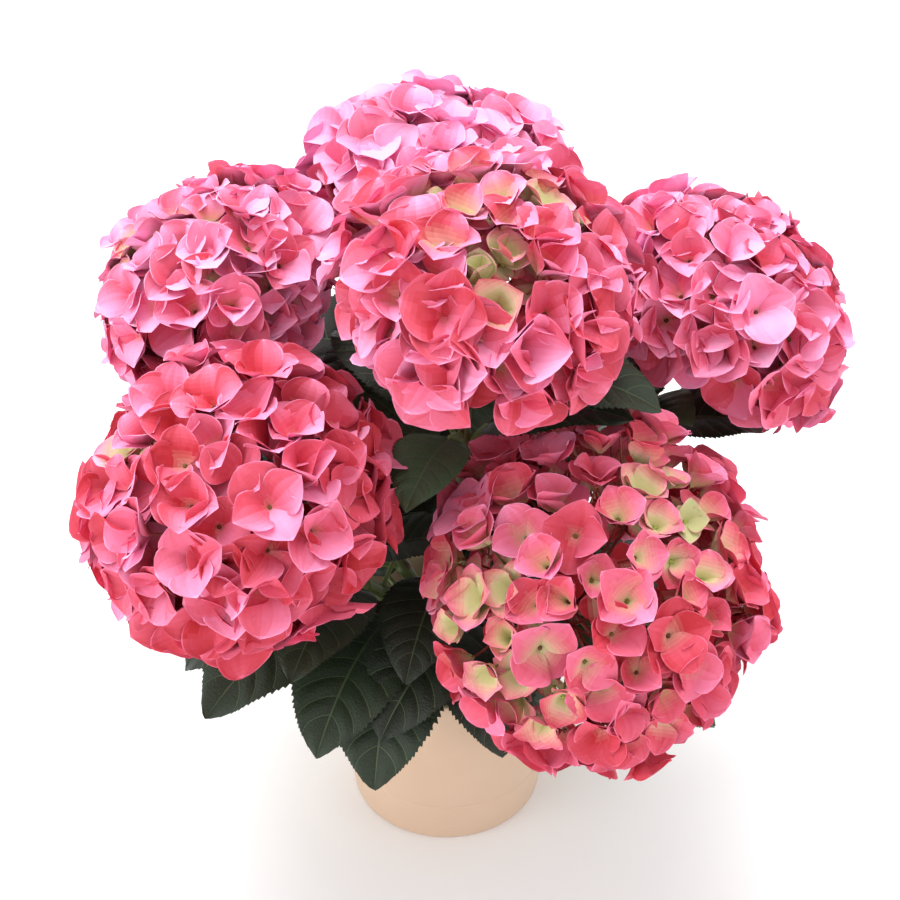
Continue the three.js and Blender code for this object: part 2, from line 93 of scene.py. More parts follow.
# How each bloom is made up:
# - count, width: the number of its florets and how wide they are
# - inner: how many smaller ones lie behind them
# - past: how many degrees from its top they go; cup: how steeply their sepals stand
# - seat: where the lowest of their centres lie, as a share of the bloom's reach
# - youth: how young they are on the whole, as a young sepal is cream further out
# - tone: from 0, the palest lilac, to 1, the deepest coral
# - painted_light: how much paler it is painted where it lies open to the brighter side of the sky, as
#   painted light
# - groups: where its youngest florets stand together, as the angle from the bloom's top, the turn
#   about its axis and the group's reach, in degrees
# - swells: the same for where it swells or dips, and how much further out they lie there
BLOOMS = {
    "front_left": dict(
        count=98, width=47, inner=42, past=124, cup=34, seat=0.68, youth=0.12, tone=0.78, painted_light=0.66,
        groups=[(50, 200, 16)],
        swells=[(60, 122, 38, 0.13), (120, 290, 30, -0.08), (86, 86, 18, -0.16)],
    ),
    "front_right": dict(
        count=132, width=44, inner=50, past=126, cup=40, seat=0.735, youth=0.24, tone=0.74, painted_light=0.4,
        groups=[(28, 27, 22), (80, 157, 15), (74, 195, 16)],
        swells=[(75, 66, 24, 0.2), (86, 286, 24, -0.16)],
    ),
    "centre": dict(
        count=80, width=51, inner=44, past=103, cup=36, seat=0.67, youth=0.2, tone=0.76, painted_light=0.76,
        groups=[(34, 250, 20), (48, 10, 22), (30, 100, 18)],
        swells=[(98, 170, 24, -0.26), (95, 195, 26, -0.12), (95, 253, 42, -0.13), (82, 146, 14, 0.1)],
    ),
    "back": dict(
        count=88, width=45, inner=38, past=116, cup=34, seat=0.725, youth=0.08, tone=0.44, painted_light=0.62,
        groups=[], swells=[],
    ),
    "left": dict(
        count=118, width=43, inner=38, past=143, cup=34, seat=0.735, youth=0.2, tone=0.54, painted_light=0.6,
        groups=[(50, 300, 16)],
        swells=[(106, 76, 34, -0.34), (114, 125, 32, -0.36)],
    ),
    "right": dict(
        count=98, width=45, inner=38, past=114, cup=34, seat=0.7, youth=0.13, tone=0.58, painted_light=0.6,
        groups=[(70, 250, 14)], swells=[],
    ),
}

UP = np.array([0.0, 0.0, 1.0])
ASIDE = np.array([1.0, 0.3, 0.0])  # a level direction that no stem takes, to start a ring from


def chance(a, b, c):
    """A repeatable number from 0 to 1 for three whole numbers, or arrays of them."""
    wave = np.sin(a * 127.1 + b * 311.7 + c * 74.7) * 43758.5453
    return wave - np.floor(wave)


def spread(a, b, c, most):
    """The same from -most to most."""
    return (2 * chance(a, b, c) - 1) * most


def along(bearing):
    """The level direction with a bearing in radians."""
    return np.array([math.cos(bearing), math.sin(bearing), 0.0])


def turned(turn, first, second):
    """The direction at a turn from the first of two directions towards the second."""
    return np.cos(turn) * first + np.sin(turn) * second


def around(sides):
    """The turns of a ring's points, once round."""
    return np.linspace(0, 2 * np.pi, sides, endpoint=False)


def unit(v):
    return v / np.linalg.norm(v, axis=-1, keepdims=True)


def ease(x):
    """0 below 0, 1 above 1, and smooth between them."""
    x = np.clip(x, 0, 1)
    return x * x * (3 - 2 * x)


def bezier(control, t):
    """Points of a Bezier curve. Each control point may be one point or an array of them."""
    layer = [np.asarray(p, float)[..., None, :] for p in control]
    t = np.asarray(t, float)[:, None]
    while len(layer) > 1:
        layer = [a + (b - a) * t for a, b in zip(layer, layer[1:])]
    return layer[0]


# ------------ meshes


def put(name, data):
    """A new object in the scene."""
    thing = bpy.data.objects.new(name, data)
    bpy.context.scene.collection.objects.link(thing)
    return thing


class Patches:
    """Squares gathered from many small parts into one mesh, each with its material's number."""

    def __init__(self):
        self.points, self.squares, self.looks, self.total = [], [], [], 0

    def add(self, grid, looks, closed=False):
        """Adds one grid of points or several alike, (..., rows, columns, 3), with their looks."""
        grids = np.asarray(grid, float)
        grids = grids.reshape(-1, *grids.shape[-3:])
        count, rows, columns = grids.shape[:3]
        spot = np.arange(rows * columns).reshape(rows, columns)
        if closed:
            spot = np.concatenate([spot, spot[:, :1]], axis=1)
        corners = [spot[:-1, :-1], spot[:-1, 1:], spot[1:, 1:], spot[1:, :-1]]
        square = np.stack(corners, axis=-1).reshape(-1, 4)
        starts = self.total + rows * columns * np.arange(count)
        self.points.append(grids.reshape(-1, 3))
        self.squares.append((square[None] + starts[:, None, None]).reshape(-1, 4))
        shape = (count, spot.shape[0] - 1, spot.shape[1] - 1)
        self.looks.append(np.broadcast_to(looks, shape).reshape(-1))
        self.total += count * rows * columns

    def build(self, name, materials, slot, *nodes):
        """Makes the mesh, in metres, in place of the CAD nodes."""
        points = np.concatenate(self.points) / 1000
        squares = np.concatenate(self.squares)
        mesh = bpy.data.meshes.new(name)
        mesh.vertices.add(len(points))
        mesh.vertices.foreach_set("co", points.astype(np.float32).ravel())
        mesh.loops.add(squares.size)
        mesh.loops.foreach_set("vertex_index", squares.astype(np.int32).ravel())
        mesh.polygons.add(len(squares))
        mesh.polygons.foreach_set("loop_start", np.arange(0, squares.size, 4, dtype=np.int32))
        for material in materials:
            mesh.materials.append(material)
        mesh.polygons.foreach_set("material_index", np.concatenate(self.looks).astype(np.int32))
        mesh.polygons.foreach_set("use_smooth", np.ones(len(squares), bool))
        mesh.update(calc_edges=True)
        piece = put(name, mesh)
        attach(piece, "root")
        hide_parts(*nodes)


def tubes(paths, radii, sides):
    """Rings round one path or several alike, (..., points, 3), that turn as little as may be."""
    paths = np.asarray(paths, float)
    heading = unit(np.gradient(paths, axis=-2))
    across = unit(np.cross(heading, UP) + 0.02 * np.cross(heading, ASIDE))
    beside = np.cross(heading, across)
    turn = around(sides)[:, None]
    radii = np.broadcast_to(radii, paths.shape[:-1])[..., None, None]
    return paths[..., None, :] + radii * turned(turn, across[..., None, :], beside[..., None, :])


def transported(path, radii, sides):
    """Rings round one path with no twist, for a path that may run upright."""
    turn = around(sides)[:, None]
    across = ASIDE
    rings = []
    for point, ahead, radius in zip(path, unit(np.gradient(path, axis=0)), radii):
        across = unit(across - ahead * across.dot(ahead))
        beside = np.cross(ahead, across)
        rings.append(point + radius * turned(turn, across, beside))
    return np.array(rings)


def round_axis(out, turn, height):
    """Points given by their distance and turn from the pot's axis, and their height."""
    parts = np.broadcast_arrays(out * np.cos(turn), out * np.sin(turn), height)
    return np.stack(parts, axis=-1)


def ball(latitudes, sides):
    """The x, y and z of a round bead's rings, at latitudes in degrees."""
    latitude, turn = np.radians(latitudes)[:, None], around(sides)
    ring = np.cos(latitude)
    return ring * np.cos(turn), ring * np.sin(turn), np.sin(latitude) + 0 * turn


# ------------ materials

RELIEF_DETAIL = 3.0
MOTTLE_DETAIL = 4.0


def linear(red, green, blue):
    """A colour as the eye names it, 0 to 255, as the light it gives back."""
    c = np.array([red, green, blue]) / 255
    return np.where(c <= 0.04045, c / 12.92, ((c + 0.055) / 1.055) ** 2.4)


def opaque(colour):
    return (*[float(c) for c in colour], 1)


def plain(name, colour, roughness, specular=0.5):
    material = bpy.data.materials.new(name)
    material.use_nodes = True
    shader = material.node_tree.nodes["Principled BSDF"]
    shader.inputs["Base Color"].default_value = opaque(colour)
    shader.inputs["Roughness"].default_value = roughness
    shader.inputs["Specular IOR Level"].default_value = specular
    material.diffuse_color = opaque(colour)
    return material


def with_noise(material, scale, detail, kind="ShaderNodeTexNoise", stretch=(1, 1, 1)):
    """A material's node tree, and the output of a noise in it of `scale` per metre."""
    tree = material.node_tree
    place = tree.nodes.new("ShaderNodeTexCoord")
    mapping = tree.nodes.new("ShaderNodeMapping")
    mapping.inputs["Scale"].default_value = stretch
    noise = tree.nodes.new(kind)
    noise.inputs["Scale"].default_value = scale
    noise.inputs["Detail"].default_value = detail
    tree.links.new(place.outputs["Object"], mapping.inputs["Vector"])
    tree.links.new(mapping.outputs["Vector"], noise.inputs["Vector"])
    return tree, noise.outputs[0]


def with_relief(material, scale, height, **kind):
    """Adds a fine relief, as a noise that stands `height` metres."""
    tree, noise = with_noise(material, scale, RELIEF_DETAIL, **kind)
    bump = tree.nodes.new("ShaderNodeBump")
    bump.inputs["Distance"].default_value = height
    tree.links.new(noise, bump.inputs["Height"])
    tree.links.new(bump.outputs["Normal"], tree.nodes["Principled BSDF"].inputs["Normal"])
    return material


def mottled(material, colours, scale, **stretch):
    """Gives a material two or three colours, as the eye names them, in a noise."""
    tree, noise = with_noise(material, scale, MOTTLE_DETAIL, **stretch)
    ramp = tree.nodes.new("ShaderNodeValToRGB")
    while len(ramp.color_ramp.elements) < len(colours):
        ramp.color_ramp.elements.new(0.5)
    for element, (position, colour) in zip(ramp.color_ramp.elements, colours):
        element.position = position
        element.color = opaque(linear(*colour))
    tree.links.new(noise, ramp.inputs["Fac"])
    tree.links.new(ramp.outputs["Color"], tree.nodes["Principled BSDF"].inputs["Base Color"])
    return material


# A sepal's colour runs in steps from the green cream of a young base, which all tones share, through
# blush to its own pink. The pinks run from the palest lilac to the deepest coral, and a sepal's tone
# among them is partly its own and partly painted light and shade.
CREAM = [(0.0, (206, 204, 148)), (0.22, (224, 202, 164)), (0.46, (232, 172, 156))]
PINKS = [
    (0.0, (255, 184, 222)),
    (0.25, (249, 150, 190)),
    (0.5, (236, 116, 146)),
    (0.75, (221, 85, 106)),
    (1.0, (198, 51, 62)),
]
PETAL_STEPS, PETAL_TONES = 13, 28
# How many tones each step has, as they differ little near the cream, and its first one's number.
PINKNESS = np.arange(PETAL_STEPS) / (PETAL_STEPS - 1)
TONES_AT = 1 + np.round((PETAL_TONES - 1) * PINKNESS**1.6).astype(int)
FIRST_AT = np.concatenate([[0], np.cumsum(TONES_AT)[:-1]])


def between(stops, x):
    """The colour at x among stops of (place, colour), mixed as light is."""
    places, colours = zip(*stops)
    return np.array([np.interp(x, places, channel) for channel in zip(*colours)])


def lights(stops):
    return [(place, linear(*colour)) for place, colour in stops]


def petal_materials():
    materials = []
    for step, tones in enumerate(TONES_AT):
        for tone in range(tones):
            pink = between(lights(PINKS), tone / (tones - 1) if tones > 1 else 0.5)
            colour = between([*lights(CREAM), (1.0, pink)], PINKNESS[step])
            materials.append(plain(f"petal_{step}_{tone}", colour, 0.6, specular=0.22))
    return materials


def petal_look(step, tone):
    """The number of the material for a step, a whole number, and a tone from 0 to 1."""
    step = step.astype(int)
    return FIRST_AT[step] + np.round(np.clip(tone, 0, 1) * (TONES_AT[step] - 1)).astype(int)


PETALS = petal_materials()

OLIVE_EYE, BROWN_EYE, GREEN_EYE = range(3)
EYES = [
    plain("eye_olive", linear(120, 116, 52), 0.5),
    plain("eye_brown", linear(112, 66, 44), 0.5),
    plain("eye_green", linear(176, 192, 96), 0.5),
]
RED_STALK, PINK_STALK, GREEN_STALK = range(3)
FLOWER_STALKS = [
    plain("stalk_red", linear(150, 62, 52), 0.55),
    plain("stalk_pink", linear(196, 112, 96), 0.55),
    plain("stalk_green", linear(112, 124, 60), 0.55),
]
LEAF_RELIEF = dict(scale=700, height=0.0002, kind="ShaderNodeTexVoronoi")
LEAF_TOPS = [
    with_relief(plain(f"leaf_{age}", linear(*colour), 0.52, specular=0.4), **LEAF_RELIEF)
    for age, colour in (("deep", (28, 37, 22)), ("mid", (37, 50, 31)), ("fresh", (56, 74, 47)))
]
TOP_VEIN, UNDER, UNDER_VEIN = range(3, 6)
LEAVES = LEAF_TOPS + [
    plain("leaf_vein", linear(74, 90, 58), 0.55),
    plain("leaf_under", linear(72, 88, 64), 0.65),
    plain("leaf_under_vein", linear(104, 118, 82), 0.6),
]
GREEN_STEM, SPECK, GREEN_PETIOLE = range(3)
TWIGS = [
    plain("stem_green", linear(92, 104, 52), 0.5),
    plain("stem_speck", linear(96, 52, 40), 0.6),
    plain("petiole_green", linear(112, 126, 66), 0.5),
]

# ------------ stems


def grown(row):
    """A stem with its bloom's centre and axis, and its curve from the soil up into the bloom."""
    out, foot = along(math.radians(row["bearing"])), along(math.radians(row["foot"]))
    lean = math.radians(row["lean"])
    centre = out * row["reach"] + UP * row["height"]
    axis = turned(lean, UP, out)
    tip = centre - axis * row["drop"] * TIP_DEPTH
    start = foot * STEM["off_axis"] + UP * STEM["start_height"]
    leave = start + foot * STEM["outwards"] + UP * STEM["upwards"]
    arrive = tip - axis * np.linalg.norm(tip - leave) * CROWN_PULL
    path = [start, leave, arrive, tip]
    return dict(row, centre=centre, axis=axis, path=path, line=bezier(path, np.linspace(0, 1, 49)))


def stem_radius(t):
    """A stem's radius at shares of its length."""
    return STEM["foot_radius"] + (STEM["tip_radius"] - STEM["foot_radius"]) * t


def bloom_share(stem, points):
    """How far out points lie in a bloom's space: 1 on the surface that its florets reach."""
    offset = points - stem["centre"]
    up = offset @ stem["axis"]
    across = np.sqrt(np.maximum(0, (offset**2).sum(-1) - up**2))
    return np.hypot(across / stem["radius"], up / np.where(up > 0, stem["rise"], stem["drop"]))


# ------------ leaves


def leaf_shape(root, bearing, lift, length, droop):
    """A leaf on its petiole: where it starts, its directions and its bend."""
    out = along(math.radians(bearing))
    shortest = PETIOLE["shortest"]
    petiole = PETIOLE["length"] * (shortest + (1 - shortest) * length / LONGEST_LEAF)
    rise = math.radians(lift + PETIOLE["rise"])
    base = root + out * petiole * math.cos(rise) + UP * petiole * math.sin(rise)
    lift, droop = math.radians(lift), math.radians(droop)
    side = np.cross(UP, out)
    return dict(root=root, base=base, out=out, side=side, lift=lift, length=length, droop=droop)


def petiole_path(leaf):
    start = leaf["root"] - leaf["out"] * PETIOLE["sunk"]
    bend = (leaf["root"] + leaf["base"]) / 2 + UP * PETIOLE["arch"]
    return [start, bend, leaf["base"]]


def half_width(s):
    """Half a blade's width at shares of its length, as a share of that length."""
    swell = np.sin(np.pi * np.clip(s, 0, 1) ** BLADE["forward"])
    return 0.5 * BLADE["width"] * swell ** BLADE["fullness"]


def blade_points(leaf, s, u, raised=0.0):
    """Points of the blade: s runs from its base to its tip, u from -1 to 1 across it."""
    length, droop, lift = leaf["length"], leaf["droop"], leaf["lift"]
    angle = lift - droop * s
    forward = length * (math.sin(lift) - np.sin(angle)) / droop
    upward = length * (np.cos(angle) - math.cos(lift)) / droop
    half = half_width(s) * length
    fold = math.radians(BLADE["fold"])
    raised = raised + half * (np.abs(u) * math.sin(fold) - BLADE["curl"] * u * u)
    return (
        leaf["base"]
        + (forward - raised * np.sin(angle))[..., None] * leaf["out"]
        + (upward + raised * np.cos(angle))[..., None] * UP
        + (u * half * math.cos(fold))[..., None] * leaf["side"]
    )


SAMPLES_S, SAMPLES_U = np.meshgrid(
    np.linspace(0, 1, 13), [-1, -0.67, -0.33, 0, 0.33, 0.67, 1], indexing="ij"
)


def sampled(leaf):
    """The leaf with the points that stand for it where leaves must be clear."""
    blade = blade_points(leaf, SAMPLES_S, SAMPLES_U).reshape(-1, 3)
    petiole = bezier(petiole_path(leaf), [0.35, 0.5, 0.65, 0.8])
    middle = blade_points(leaf, np.array([0.4]), np.array([0.0]))[0]
    return dict(leaf, blade=blade, middle=middle, points=np.concatenate([blade, petiole]))


def nearest(a, b):
    return np.sqrt(((a[:, None] - b[None]) ** 2).sum(-1).min())


def is_clear(leaf, stem, stems, leaves, clear):
    """Whether a leaf is clear of the pot and the ground, the blooms, the stems and the others."""
    points = leaf["points"]
    out, z = np.hypot(points[:, 0], points[:, 1]), points[:, 2]
    wall = pot_radius(z) + POT["lip"] + clear["pot"]
    if (z < clear["ground"]).any() or ((z < POT["height"] + clear["pot"]) & (out < wall)).any():
        return False
    for other in stems:
        if (bloom_share(other, points) < clear["bloom"]).any():
            return False
        if nearest(other["line"], leaf["blade"] if other is stem else points) < clear["stem"]:
            return False
    for other in leaves:
        if np.linalg.norm(leaf["middle"] - other["middle"]) > 0.6 * (leaf["length"] + other["length"]):
            continue
        if nearest(points, other["points"]) < clear["own_blade" if other["stem"] is stem else "blade"]:
            return False
    return True


CHANGES = sorted(
    ((share, turn, up) for share in LENGTHS for turn in TURNS for up in LIFTS),
    key=lambda c: abs(c[1]) / 16 + abs(c[2]) / 12 + (1 - c[0]) * 9,
)


def first_clear(stem, stems, leaves, share, bearing, lift, length, droop, clear):
    """The leaf as asked for, or with the smallest change that makes it clear."""
    t = CANE_SHARE + (BLOOM_SHARE - CANE_SHARE) * share
    root = bezier(stem["path"], [t])[0]
    for part, turn, up in CHANGES:
        leaf = sampled(leaf_shape(root, bearing + turn, lift + up, length * part, droop))
        if is_clear(leaf, stem, stems, leaves, clear):
            return dict(leaf, stem=stem, share=t)
    return None


def grow_leaves(stems):
    """The stems' pairs of leaves, the lowest pairs first."""
    leaves = []
    for j in range(max(len(stem["pairs"]) for stem in stems)):
        for n, stem in enumerate(stems):
            if j >= len(stem["pairs"]):
                continue
            share, direction, length = stem["pairs"][j]
            for half in (0, 1):
                bearing = direction + 180 * half + spread(n, j, half, HABIT["turn_spread"])
                lift = HABIT["lift"] + HABIT["lift_gain"] * share
                lift += spread(n, j, half + 2, HABIT["lift_spread"])
                droop = HABIT["droop"] - HABIT["droop_loss"] * share
                droop += spread(n, j, half + 4, HABIT["droop_spread"])
                leaf = first_clear(stem, stems, leaves, share, bearing, lift, length, droop, CLEAR)
                if leaf:
                    leaves.append(leaf)
    return leaves


# Single leaves of the short side shoots: the stem, how far up it, their direction, lift and length.
SHOOT_LEAVES = [
    ("front_left", 0.1, 245, 14, 104),
    ("centre", 0.13, 272, 12, 90),
    ("centre", 1.0, 342, 22, 88),
    ("right", 0.8, 304, 56, 70),
    ("centre", 0.84, 215, 20, 70),
    ("front_left", 0.86, 60, 40, 70),
]
SHOOT_CLEAR = dict(CLEAR, blade=3, own_blade=2.5, stem=4, bloom=0.94)


def grow_shoot_leaves(stems, leaves):
    """Adds the side shoots' leaves to the others."""
    for name, share, bearing, lift, length in SHOOT_LEAVES:
        stem = next(stem for stem in stems if stem["name"] == name)
        droop = HABIT["droop"] - HABIT["droop_loss"] * share
        leaf = first_clear(stem, stems, leaves, share, bearing, lift, length, droop, SHOOT_CLEAR)
        if leaf:
            leaves.append(leaf)
    return leaves


# Where a blade's lateral veins leave the midrib, from base to tip, and how far they run forward.
VEINS = np.array([0.07, 0.17, 0.28, 0.4, 0.52, 0.64, 0.75])
VEIN_HALF = 0.0024
VEIN_REACH = 0.2
# Between two veins, and beyond the last, the margin's teeth: (how far along, how long a tooth).
BETWEEN = [(0.12, 0.0), (0.25, 0.9), (0.32, 0.0), (0.5, 1.0), (0.57, 0.0), (0.74, 0.9), (0.81, 0.0)]
TIP_TEETH = [(0.3, 1.0), (0.38, 0.0), (0.62, 0.8), (0.7, 0.0), (0.88, 0.4), (0.97, 0.0)]
COLUMNS = np.array([0, 0.022, 0.18, 0.38, 0.58, 0.77, 0.91, 1.0])
# A blade's finer form, as shares of its length.
FINE = dict(tooth=0.009, quilt=0.011, rib=-0.006, wave=0.012, thick=0.0042)


def blade_rows():
    """The rows of a blade's grid: where each is, its tooth, how swollen it is, and if a vein."""
    rows = [(0.004, 0.0, 0.0, 0), (0.03, 0.0, 0.5, 0), (0.06, 0.3, 0.7, 0)]
    for k, vein in enumerate(VEINS):
        rows += [(vein - VEIN_HALF, 1.0, 0.0, 1), (vein + VEIN_HALF, 0.0, 0.0, 0)]
        if k + 1 < len(VEINS):
            gap = VEINS[k + 1] - vein - 2 * VEIN_HALF
            start = vein + VEIN_HALF
            rows += [(start + gap * f, tooth, math.sin(math.pi * f), 0) for f, tooth in BETWEEN]
    last = VEINS[-1] + VEIN_HALF
    gap = 0.995 - last
    rows += [(last + gap * f, tooth, 0.5 * math.sin(math.pi * f), 0) for f, tooth in TIP_TEETH]
    rows.append((0.998, 0.0, 0.0, 0))
    return np.array(rows)


ROWS = blade_rows()


def add_blade(patches, leaf, seed):
    """One leaf's two faces, toothed, veined and quilted."""
    u = np.concatenate([-COLUMNS[:0:-1], COLUMNS])[None, :]
    along_rib, tooth, swell = (ROWS[:, k : k + 1] for k in range(3))
    s = along_rib + VEIN_REACH * np.abs(u) ** 1.2 * np.sin(np.pi * along_rib) ** 0.8
    margin = np.abs(u) ** 12
    tooth = tooth * (0.7 + 0.5 * chance(seed, np.arange(len(ROWS))[:, None], 6))
    s = np.minimum(s + margin * tooth * FINE["tooth"], 0.9985)
    wide = u * (1 + margin * (0.07 * tooth - 0.02))
    length = leaf["length"]
    quilt = FINE["quilt"] * length * swell * np.sin(np.pi * np.abs(u)) ** 0.7
    rib = FINE["rib"] * length * np.exp(-((u / 0.07) ** 2)) * (1 - along_rib)
    waves = 2 * np.pi * (2.2 * along_rib + chance(seed, 1, 2))
    wave = FINE["wave"] * length * u**2 * np.sin(waves + 2.4 * np.sign(u))
    midrib = 0.9 * np.exp(-((u / 0.1) ** 2)) * (1 - 0.7 * along_rib)
    thick = (FINE["thick"] * length + midrib) * (1 - 0.75 * margin)
    top = blade_points(leaf, s, wide, quilt + rib + wave)
    under = blade_points(leaf, s, wide, quilt * 0.8 + wave - thick)
    side = np.abs((u[:, 1:] + u[:, :-1]) / 2)
    on_vein = (ROWS[:-1, 3:4] > 0) & (side < 0.9) | (side < 0.02)
    kind = int(chance(seed, 4, 1) * len(LEAF_TOPS))
    patches.add(top[:, ::-1], np.where(on_vein, TOP_VEIN, kind))
    patches.add(under, np.where(on_vein, UNDER_VEIN, UNDER))


def add_petiole(patches, leaf):
    t = np.linspace(0.1, 1.0, 9)
    path = bezier(petiole_path(leaf), t)
    path = np.concatenate([path, blade_points(leaf, np.array([0.03]), np.array([0.0]), -0.8)])
    radii = PETIOLE["radius"] * (0.78 + 0.5 * np.exp(-t / 0.15) + 0.1 * t)
    radii = np.append(radii, 0.7) * (0.75 + 0.25 * leaf["length"] / LONGEST_LEAF)
    patches.add(tubes(path, radii, 8), GREEN_PETIOLE, closed=True)


def add_stem(patches, stem, start, end, rings, leaves, look, specks=None):
    """A length of stem, swollen a little where leaves leave it."""
    t = np.linspace(start, end, rings)
    radii = stem_radius(t)
    for leaf in leaves:
        radii = radii + 0.9 * np.exp(-(((t - leaf["share"]) / 0.012) ** 2))
    grid = transported(bezier(stem["path"], t), radii, 10)
    looks = np.full((rings - 1, 10), look)
    if specks is not None:
        row, column = np.indices(looks.shape)
        looks = np.where(chance(row // 5, column, specks) > 0.93, SPECK, looks)
    patches.add(grid, looks, closed=True)


# ------------ blooms

GOLDEN = math.pi * (3 - math.sqrt(5))
FIRST_INNER = 200  # the inner florets' numbers start here
TILT_SPREAD = 0.42  # how far a floret leans to either side
TOWARDS_LIGHT = 0.2  # how far it turns up from the way its place on the bloom faces
SEAT_GAIN = 0.11  # how much further out the highest florets' centres lie
INNER_DEPTH, INNER_WIDTH = 0.085, 0.62  # how much deeper the inner ones lie, and how wide they are
YOUNG_NARROWER = 0.42
RIM_OUT, RIM_UP = 0.42, 0.2  # the ring that stands for a floret, as shares of its width
OWN_SPACE = -0.08  # where the space of a bloom ends, beside another's
PRESSED_IN = 0.1  # how much deeper a floret sits each time that another bloom presses on it

# How the florets press on each other: how far off a neighbour counts, how many millimetres or how
# much rank make it higher, the gap between two that meet, and how near in height equals are.
PRESS = dict(far=60, level=9, rank=1.3, gap=1.5, equal=0.55, higher=0.8, slide=0.7)

# Painted light: a sepal is painted paler as it faces the brighter side of the sky, and its back is
# painted paler too, for light coming through it.
SUN_SIDE = np.array([-0.52, 0.33, 0.79])  # the brighter side of the sky
BACK_PAINTED_LIGHT = 0.6  # painted light: a sepal's back, turned from the brighter side, is painted paler too, less than its face
RIDGE_PAINTED_SHADE = 0.3  # how much of the painted light and shade of the veins' ridging shows in a sepal's tone

# A sepal's outline, round and rhombic: half its width at shares of its length.
OUTLINE_S = np.array([0.0, 0.08, 0.17, 0.27, 0.37, 0.47, 0.57, 0.67, 0.77, 0.86, 0.94, 1.0])
OUTLINE_ROUND = np.array([0.06, 0.18, 0.31, 0.42, 0.5, 0.56, 0.585, 0.575, 0.52, 0.4, 0.22, 0.015])
OUTLINE_RHOMB = np.array([0.06, 0.2, 0.35, 0.47, 0.54, 0.56, 0.54, 0.47, 0.365, 0.245, 0.115, 0.01])
SEPAL_U = np.array([-1, -0.94, -0.78, -0.6, -0.4, -0.2, 0, 0.2, 0.4, 0.6, 0.78, 0.94, 1])
# The rows and columns that an inner sepal keeps.
INNER_ROWS, INNER_COLUMNS = [0, 2, 4, 6, 8, 9, 11], [0, 2, 4, 6, 8, 10, 12]
EACH = (slice(None), None, None)  # spreads one value for each sepal over its grid


def across_axis(axis):
    """Two directions square to an axis, or to each of several."""
    first = unit(np.cross(UP, axis))
    return first, np.cross(axis, first)


def nearness(spots, axis, polar, about, group):
    """How near each spot is to the middle of a group: 1 there, falling to 0 outside it."""
    first, second = across_axis(axis)
    way = turned(math.radians(polar), axis, turned(math.radians(about), first, second))
    apart = np.degrees(np.arccos(np.clip(unit(spots) @ way, -1, 1)))
    return np.exp(-((apart / group) ** 2))


def has_room(stem, stems, centre, rim):
    """Whether each floret's ring lies in its own bloom's space rather than in another's."""
    ring = centre[:, None] + rim
    own = bloom_share(stem, ring) + OWN_SPACE
    rooms = [(bloom_share(other, ring) > own).all(axis=1) for other in stems if other is not stem]
    return np.logical_and.reduce(rooms)


def florets_of(stem, number, stems):
    """Where a bloom's florets stand, by the golden angle from the top down to its underside."""
    style, axis = BLOOMS[stem["name"]], stem["axis"]
    outer, inner = np.arange(style["count"]), np.arange(style["inner"])
    i = np.concatenate([outer, FIRST_INNER + inner])
    is_inner = i >= FIRST_INNER
    done = np.concatenate([(outer + 0.5) / len(outer), (inner + 0.5) / len(inner)])
    upright = 1 - (1 - math.cos(math.radians(style["past"]))) * done
    outward = np.sqrt(1 - upright**2)
    reach = np.where(upright > 0, stem["rise"], stem["drop"])
    turn = i * GOLDEN + spread(number, i, 1, 0.12)
    first, second = across_axis(axis)
    beside = turned(turn[:, None], first, second)
    spot = stem["radius"] * outward[:, None] * beside + (reach * upright)[:, None] * axis
    facing = unit((outward / stem["radius"])[:, None] * beside + (upright / reach)[:, None] * axis)
    for code, way in ((2, first), (3, second)):
        facing = facing + spread(number, i, code, TILT_SPREAD)[:, None] * way
    facing = unit(facing + TOWARDS_LIGHT * UP)

    young = style["youth"] * (0.3 + 1.4 * chance(number, i, 7))
    for group in style["groups"]:
        young = young + 0.75 * nearness(spot, axis, *group) * (0.6 + 0.6 * chance(number, i, 8))
    young = np.clip(young, 0, 1)
    width = style["width"] * np.where(is_inner, INNER_WIDTH, 1) * (1 + spread(number, i, 5, 0.14))
    width = width * (1 - YOUNG_NARROWER * young**1.5) * (1 + 0.1 * (1 - upright) * ~is_inner)
    rank = chance(number, i, 4) * (1 - 0.5 * young)
    depth = spread(number, i, 4, 0.04) - INNER_DEPTH
    share = style["seat"] + np.where(is_inner, depth, SEAT_GAIN * rank)
    for *group, more in style["swells"]:
        share = share + more * nearness(spot, axis, *group) * (0.6 + 0.6 * chance(number, i, 10))

    spin = chance(number, i, 6) * np.pi
    e1, e2 = across_axis(facing)
    ring = turned((spin[:, None] + around(8))[..., None], e1[:, None], e2[:, None])
    rim = width[:, None, None] * (RIM_OUT * ring + RIM_UP * facing[:, None])
    # Where another bloom presses in, a floret sits deeper, and is missing if that isn't enough.
    centre = stem["centre"] + spot * share[:, None]
    for _ in range(2):
        share = np.where(has_room(stem, stems, centre, rim), share, share - PRESSED_IN)
        centre = stem["centre"] + spot * share[:, None]
    keeps = has_room(stem, stems, centre, rim)

    # Painted shade: the inner florets, lying deeper in the bloom, are a deeper coral.
    tone = style["tone"] + spread(number, i, 9, 0.17) + 0.3 * is_inner + 0.1
    rank = np.where(is_inner, -1.0, rank)
    florets = dict(
        i=i, inner=is_inner, centre=centre, facing=facing, e1=e1, e2=e2, width=width, spin=spin,
        young=young, rank=rank, tone=tone, spot=spot,
    )
    return {key: value[keeps] for key, value in florets.items()}


